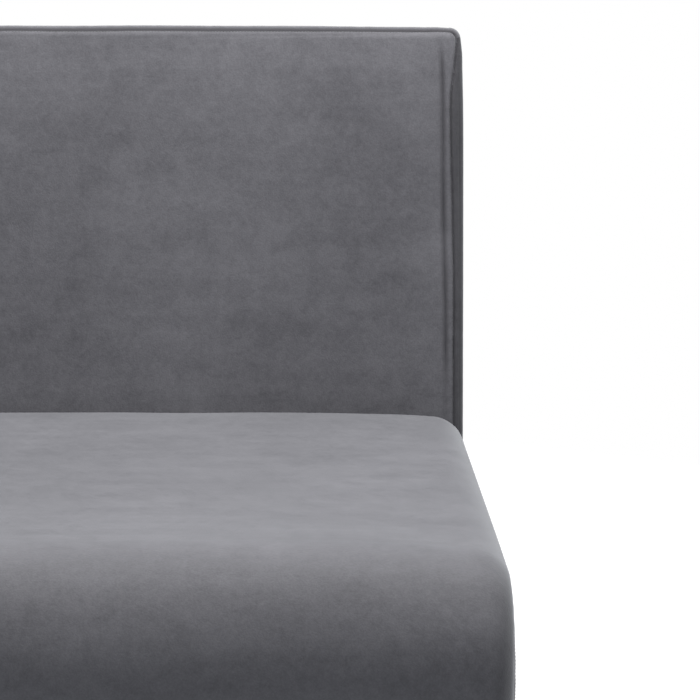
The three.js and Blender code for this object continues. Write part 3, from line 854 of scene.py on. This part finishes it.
def back_relief(own, size):
    """How far the velvet stands out of the panel's plain shape at each point of its skin."""
    side = size[0] / 2 - np.abs(own[:, 0])
    below_top = size[1] - own[:, 1]
    height = own[:, 1]
    front = own[:, 2] < size[2] / 2
    other = np.where(own[:, 0] < 0, 100.0, 0.0)  # so that the two ends do not wander alike
    sway = 0.0003 * wander(height + other, 3, (0.05, 0.16))
    sway += 0.00025 * wander(own[:, 0], 4, (0.05, 0.2))
    gap = np.where(
        front,
        seam_distance(side, below_top, side_seam_in(below_top) + sway, TOP_SEAM_IN + sway),
        seam_distance(side, below_top, REAR_SEAM_IN, REAR_SEAM_IN),
    )
    inside = -gap
    relief = -GROOVE_DEPTH * bell(gap, GROOVE_WIDTH)
    relief += RIDGE_HEIGHT * bell(gap - RIDGE_OUT, RIDGE_WIDTH) * (gap > 0)
    pucker = wander(own[:, 0] + height + other, 5, (0.009, 0.03))
    relief += 0.0003 * pucker * np.exp(-np.abs(gap) / 0.006)
    # Inside the side seams the allowance lifts the velvet, and a soft crease runs along its edge.
    to_side = side - side_seam_in(below_top)
    to_crease = side - CREASE_IN + 0.0034 * smooth_step(below_top, 0.16, 0.36)
    strength = smooth_step(below_top, 0.006, 0.05) * (1 - 0.85 * smooth_step(below_top, 0.36, 0.46))
    strength *= 1 + 0.25 * wander(height + other, 6, (0.04, 0.15))
    lift = smooth_step(to_side, 0.0005, 0.003) - smooth_step(to_crease, -0.0018, 0.0006)
    crease = bell(to_crease, CREASE_WIDTH)
    in_front = front & (to_side > 0)
    relief += np.where(in_front, (ALLOWANCE_LIFT * lift - CREASE_DEPTH * crease) * strength, 0)
    rim_line = bell(side - RIM_IN, RIM_WIDTH) * smooth_step(below_top, 0.04, 0.12) * (front & (gap > 0))
    relief -= RIM_DEPTH * rim_line
    # Painted shade in the seams' grooves, stronger at the top, along the shallow rim line and in the crease.
    painted_shade = 0.55 + 0.4 * smooth_step(below_top, 0.012, 0.006)
    fold = np.maximum(painted_shade * bell(gap, 0.0012), 0.3 * rim_line)
    fold = np.maximum(fold, np.where(in_front, 0.62 * strength * bell(to_crease - 0.0003, 0.0025), 0))
    # The foam crowns a little behind the velvet, which is never quite even.
    relief += BACK_CROWN * (1 - np.exp(-np.maximum(inside, 0) / BACK_CROWN_RUN))
    rising = wander(own[:, 0] * 0.9 + height * 0.4, 8, (0.12, 0.6))
    falling = wander(height - own[:, 0] * 0.3, 9, (0.1, 0.4))
    relief += UNEVEN * (rising + falling) * smooth_step(inside, 0, BACK_CROWN_RUN)
    return relief, gap, np.clip(fold, 0, 1)


def make_back_cover():
    panel = Panel()
    size = panel.size
    half = size[0] / 2
    near_end = growing((0.0168, 0.0008), (0.028, 0.001), (0.034, 0.002), (0.046, 0.004))
    near_top = growing((0.0088, 0.0008), (0.016, 0.0012), (0.03, 0.0028), (0.042, 0.004))
    near_rim = (0.0, 0.0025, 0.005, 0.0075, 0.01)
    own, faces = box_skin(
        stations(-half, half, 0.0105, near_end, near_end),
        stations(0, size[1], 0.007, growing((0.01, 0.0033)), near_top),
        stations(0, size[2], 0.007, near_rim, near_rim),
    )
    own, normals = rounded(own, BACK_EDGE)
    plain = own.copy()
    relief, gap, fold = back_relief(own, size)
    # The ends draw in a little towards the top corners, and the top stands a little proud between them.
    below_top = size[1] - own[:, 1]
    drawn = DRAWN_IN * np.exp(-np.maximum(below_top - 0.01, 0) / DRAWN_RUN)
    own[:, 0] -= np.sign(own[:, 0]) * drawn * smooth_step(np.abs(own[:, 0]), half - 0.08, half)
    from_end = half - np.abs(own[:, 0])
    proud = TOP_PROUD * smooth_step(from_end, 0.0, 0.2)
    proud += CORNER_PROUD * smooth_step(from_end, -0.015, 0.03)
    proud += UNEVEN_TOP * wander(own[:, 0], 10, (0.1, 0.5))
    own[:, 1] += proud * smooth_step(below_top, 0.03, 0.0)
    own += normals * relief[:, None]
    rolled = TOP_ROLL * np.exp(-np.maximum(below_top - TOP_SEAM_IN, 0) / TOP_ROLL_RUN)
    own[:, 2] += rolled * (1 - own[:, 2] / size[2])
    rough, rough_faces = box_skin(
        stations(-half, half, 0.025), stations(0, size[1], 0.025), stations(0, size[2], 0.02)
    )
    rough, _ = rounded(rough, BACK_EDGE)
    moves = limited(filled_out(rough, rough_faces, pressure=1.2), BACK_CAP)
    moves = carried_over(moves, rough, own, reach=0.03)
    own += kept_close(moves, normals, inward=0.0004, outward=BACK_CAP)
    world = panel.to_world(own)
    # The panel's velvet is the lighter copy: painted light.
    cover = new_object("back_velvet_cover", world, faces, MATERIALS["velvet_back_painted_light"], weld=0)
    cover.data.materials.append(MATERIALS["velvet_boxing_painted_shade"])
    set_painted_shade(cover, fold)
    # The side boxing below the top takes the darker copy: painted shade.
    on_boxing = (gap > 0) & (own[:, 2] < size[2] - REAR_SEAM_IN) & (below_top > 0.009)
    cover.data.polygons.foreach_set("material_index", on_boxing[faces].all(1).astype(np.int32))
    turn_outward(cover.data)
    add_piece(cover, "back", "velvet", "back_cover")
    make_back_stitches(panel, plain, own - plain)
    return panel


def make_back_stitches(panel, plain, moves):
    """Stitches along the front seam, on the inner side of its groove, on both sides and the top."""
    size = panel.size
    tree = KDTree(len(plain))
    for i in np.flatnonzero(plain[:, 2] < size[2] / 2):
        tree.insert((plain[i][0], plain[i][1], 0), i)
    tree.balance()
    path = []
    half = size[0] / 2
    for height in np.arange(STITCHES_FROM, size[1] - 0.016, 0.004):
        path.append((-half + side_seam_in(size[1] - height) + STITCHES_IN, height))
    for x in np.arange(-half + 0.014, half - 0.0139, 0.004):
        path.append((x, size[1] - TOP_SEAM_IN - STITCHES_IN))
    for height in np.arange(size[1] - 0.016, STITCHES_FROM, -0.004):
        path.append((half - side_seam_in(size[1] - height) - STITCHES_IN, height))
    points = []
    for x, height in path:
        found = tree.find_n((x, height, 0.0), 4)
        near, weights = [i for _, i, _ in found], [1 / (d + 1e-4) for _, _, d in found]
        depth = np.average(plain[near, 2], weights=weights)
        points.append(np.array((x, height, depth)) + np.average(moves[near], axis=0, weights=weights))
    world = panel.to_world(np.array(points))
    normals = np.tile(-panel.rear, (len(world), 1))
    add_piece(stitches("back_stitching", world, normals), "back", "velvet")


def make_thin_sheet(node, body, slot, spacing, ripple, seed):
    """A thin layer in the place of a CAD solid of the back, with soft ripples; also its size."""
    own = points_of(NODES[node].data) @ PANEL.axes().T
    low, high = own.min(0), own.max(0)
    grids = []
    for a, b in zip(low, high):
        across = b - a > 0.05
        grids.append(stations(a, b, max(spacing, (b - a) / 260) if across else (b - a) / 3))
    skin, faces = box_skin(*grids)
    skin, normals = rounded(skin, min(high - low) * 0.45)
    waves = wander(skin[:, 0] + skin[:, 1] * 0.5, seed, (0.05, 0.3)) * ripple
    skin -= normals * (0.0002 + ripple / 2 - waves / 2)[:, None]
    sheet = new_object(node + "_layer", skin @ PANEL.axes(), faces, MATERIALS[slot], weld=0)
    turn_outward(sheet.data)
    return add_piece(sheet, body, slot, node), high - low


# ------------------------ zip

COIL_PITCH, COIL_WIRE, COIL_WIDTH, COIL_HEIGHT = 0.0015, 0.00034, 0.0023, 0.0009
COIL_STOPS = 0.006  # before each end of the tape
TURN_STEPS = 9
FOLD_WIDTH, FOLD_GAP = 0.0075, 0.0009  # of the cover's folded edges, and from the coil to them
FOLD_SEAM = 0.0042  # from a folded edge to its stitches
PULL_LENGTH, PULL_HALF_WIDTH = 0.021, 0.0028


def tube_along(points, radius, sides, name, material, squash=(1.0, 1.0)):
    """A round or flattened wire along points, with closed ends."""
    ahead = np.gradient(points, axis=0)
    ahead /= np.linalg.norm(ahead, axis=1, keepdims=True)
    side = np.cross(ahead, [1.0, 0.0, 0.0])
    side /= np.linalg.norm(side, axis=1, keepdims=True) + 1e-12
    top = np.cross(side, ahead)
    angles = 2 * math.pi * np.arange(sides) / sides
    rings = (
        points[:, None]
        + radius * squash[0] * np.cos(angles)[None, :, None] * side[:, None]
        + radius * squash[1] * np.sin(angles)[None, :, None] * top[:, None]
    )
    faces = [tuple(f) for f in loft_faces(len(points), sides)]
    faces.append(tuple(range(sides)))
    last = (len(points) - 1) * sides
    faces.append(tuple(last + i for i in range(sides)))
    return new_object(name, rings.reshape(-1, 3), faces, material)


def make_zip():
    """Woven tape, a nylon coil along it, and the cover's folded edges beside it with their stitches."""
    low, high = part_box("mattress_zip")
    middle = (low + high) / 2
    turns = np.arange(0, (high.y - low.y - 2 * COIL_STOPS) / COIL_PITCH, 1 / TURN_STEPS)
    angle = 2 * math.pi * turns
    face = low.x + 0.0004
    coil = line_of(
        face - COIL_HEIGHT * 0.5 + COIL_HEIGHT * 0.5 * np.cos(angle),
        low.y + COIL_STOPS + turns * COIL_PITCH,
        middle.z + COIL_WIDTH * np.sin(angle),
    )
    nylon = MATERIALS["zip_nylon"]
    add_piece(tube_along(coil, COIL_WIRE, 5, "zip_coil", nylon), "mattress", "zip_nylon")
    near_end = (0.0, 0.0006, 0.002)
    tape, faces = box_skin(
        stations(low.x + 0.0006, high.x - 0.0003, 0.0005),
        stations(low.y, high.y, 0.004, near_end, near_end),
        stations(low.z, high.z, 0.0005),
    )
    tape, _ = rounded(tape, 0.00025)
    rib = 0.00008 * np.sin(2 * math.pi * tape[:, 2] / 0.0011)
    tape[:, 0] += np.where(tape[:, 0] < middle.x, rib, 0)
    piece = new_object("zip_tape", tape, faces, nylon, weld=0)
    add_piece(piece, "mattress", "zip_nylon", "mattress_zip")
    near_end = (0.0, 0.001, 0.003)
    for name, side in (("upper", 1), ("lower", -1)):
        near = middle.z + side * (COIL_WIDTH + FOLD_GAP)
        z_low, z_high = sorted((near, near + side * FOLD_WIDTH))
        fold, faces = box_skin(
            stations(face - 0.0012, high.x + 0.0012, 0.0006),
            stations(low.y - 0.006, high.y + 0.006, 0.006, near_end, near_end),
            stations(z_low, z_high, 0.0008),
        )
        fold, normals = rounded(fold, 0.0011)
        fold += normals * (0.00022 * wander(fold[:, 1], 20 + side, (0.01, 0.05)))[:, None]
        seam_z = near + side * FOLD_SEAM
        fold[:, 0] += np.where(fold[:, 0] < middle.x, 0.0006 * bell(fold[:, 2] - seam_z, 0.0007), 0)
        piece = new_object(f"zip_fold_{name}", fold, faces, MATERIALS["velvet"], weld=0)
        add_piece(piece, "mattress", "velvet")
        line = line_of(face - 0.0008, np.arange(low.y - 0.003, high.y + 0.003, 0.004), seam_z)
        normals = np.tile([-1.0, 0.0, 0.0], (len(line), 1))
        add_piece(stitches(f"zip_stitching_{name}", line, normals), "mattress", "velvet")


def make_slider():
    """A slider body that narrows towards its tail, a bridge over it, and a pull that hangs from it."""
    low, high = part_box("zip_slider")
    middle = (low + high) / 2
    length = high.y - low.y
    body, faces = box_skin(
        stations(low.x - 0.0008, high.x - 0.0002, 0.0006),
        stations(low.y, high.y, 0.0008),
        stations(low.z, high.z, 0.0008),
    )
    body, _ = rounded(body, 0.0009)
    share = (body[:, 1] - low.y) / length
    waist = 1 - 0.36 * smooth_step(share, 0.35, 0.95)
    body[:, 2] = middle.z + (body[:, 2] - middle.z) * waist
    arch = np.linspace(0, math.pi, 15)
    bridge = line_of(
        low.x - 0.0006 - 0.0024 * np.sin(arch), middle.y + 0.0045 * np.cos(arch), middle.z
    )
    eye = np.linspace(0, 2 * math.pi, 21)
    ring = line_of(
        low.x - 0.0022, middle.y + 0.0026 * np.sin(eye), middle.z - 0.0022 + 0.0034 * np.cos(eye)
    )
    steel = MATERIALS["zinc_steel"]
    parts = [
        new_object("zip_slider_body", body, faces, steel, weld=0),
        tube_along(bridge, 0.0007, 8, "zip_slider_bridge", steel, (1.7, 1.0)),
        tube_along(ring, 0.0006, 8, "zip_slider_ring", steel),
    ]
    tab_top = middle.z - 0.0048
    tab, faces = box_skin(
        stations(low.x - 0.0029, low.x - 0.0015, 0.0005),
        stations(middle.y - PULL_HALF_WIDTH, middle.y + PULL_HALF_WIDTH, 0.0007),
        stations(tab_top - PULL_LENGTH, tab_top, 0.001),
    )
    tab, _ = rounded(tab, 0.00065)
    down = (tab_top - tab[:, 2]) / PULL_LENGTH
    widen = 0.72 + 0.4 * smooth_step(down, 0.0, 0.75) - 0.35 * smooth_step(down, 0.86, 1.0)
    tab[:, 1] = middle.y + (tab[:, 1] - middle.y) * widen
    ribbed = smooth_step(down, 0.45, 0.5) * smooth_step(-down, -0.95, -0.9)
    grip = 0.00018 * np.sin(2 * math.pi * down * 9) * ribbed
    tab[:, 0] += np.where(tab[:, 0] < low.x - 0.0022, -grip, grip)
    parts.append(new_object("zip_slider_pull", tab, faces, steel, weld=0))
    for i, part in enumerate(parts):
        add_piece(part, "zip_pull", "zinc_steel", *(["zip_slider"] if i == 0 else []))


def make_felt_pads():
    """Punched felt discs with a fuzzy, slightly flattened rim."""
    rng = np.random.default_rng(31)
    for node in NODES:
        if not node.startswith("felt_pad"):
            continue
        low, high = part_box(node)
        centre, radius, height = (low + high) / 2, (high.x - low.x) / 2, high.z - low.z
        profile = [(0.0, 0.0), (0.5, 0.0), (0.8, 0.0), (0.93, 0.02), (0.985, 0.16), (1.0, 0.35)]
        profile += [(1.0, 0.62), (0.985, 0.84), (0.94, 0.97), (0.8, 0.995), (0.5, 0.995), (0.0, 0.995)]
        sides = 48
        verts = []
        for out, up in profile:
            for k in range(sides):
                fuzz = 1 + (rng.normal(0, 0.006) if 0.9 < out else 0)
                angle = 2 * math.pi * k / sides
                reach = radius * out * min(fuzz, 1.0)
                x, y = centre.x + reach * math.cos(angle), centre.y + reach * math.sin(angle)
                verts.append((x, y, low.z + height * up))
        pad = new_object(node + "_disc", verts, loft_faces(len(profile), sides), MATERIALS["felt"])
        add_piece(pad, BODY_OF[node], "felt", node)


# ------------------------ the whole object

add_camera()
MATERIALS = make_materials()
add_stage()
mattress_verts, mattress_seam, mattress_count = make_mattress_cover()
make_mattress_stitches(mattress_verts, mattress_seam, mattress_count)
for foam in ("mattress_base_foam", "mattress_top_foam"):
    soft_copy(foam, 0.012, 0.006, "foam", "mattress")
PANEL = make_back_cover()
soft_copy("back_foam", 0.009, 0.003, "foam", "back")
wadding, _ = make_thin_sheet("back_rear_wadding", "back", "wadding", 0.009, 0.0014, 12)
strip, strip_size = make_thin_sheet("back_dust_strip", "back", "dust_cloth", 0.006, 0.0002, 13)
make_zip()
make_slider()
make_felt_pads()

for node_name, node in NODES.items():
    node.data.materials.clear()
    node.data.materials.append(material_for(node_name))
